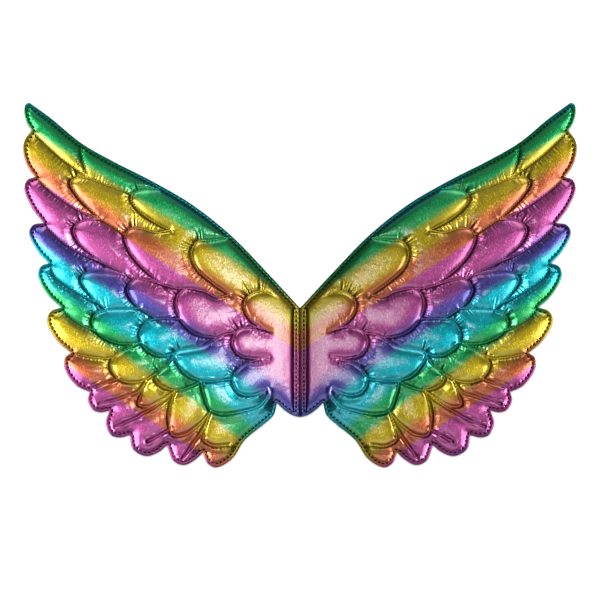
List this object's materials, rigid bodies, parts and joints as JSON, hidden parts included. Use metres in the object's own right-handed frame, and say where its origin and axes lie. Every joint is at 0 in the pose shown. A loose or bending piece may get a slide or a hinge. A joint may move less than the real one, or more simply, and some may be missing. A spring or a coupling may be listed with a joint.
{
  "type": "costume wings",
  "caption": "Flat padded costume wings of quilted rainbow metallic film, with rows of stitched feathers and scalloped edges, joined at a short centre seam.",
  "frame": {"origin": "middle of the centre seam, on the back face", "axes": "+X to the right wing's tip as seen from the quilted face, +Y up the centre seam towards the wing tips, +Z out of the quilted face"},
  "size_m": [0.462, 0.3044, 0.0069],
  "materials": {
    "film": "metallic film on cloth, slanting rainbow bands, satin gloss",
    "backing": "the film's reverse side, soft sheen",
    "thread": "fine dark sewing thread"
  },
  "bodies": {
    "root": {"left_wing": "film", "right_wing": "film", "backing": "backing"}
  },
  "joints": []
}
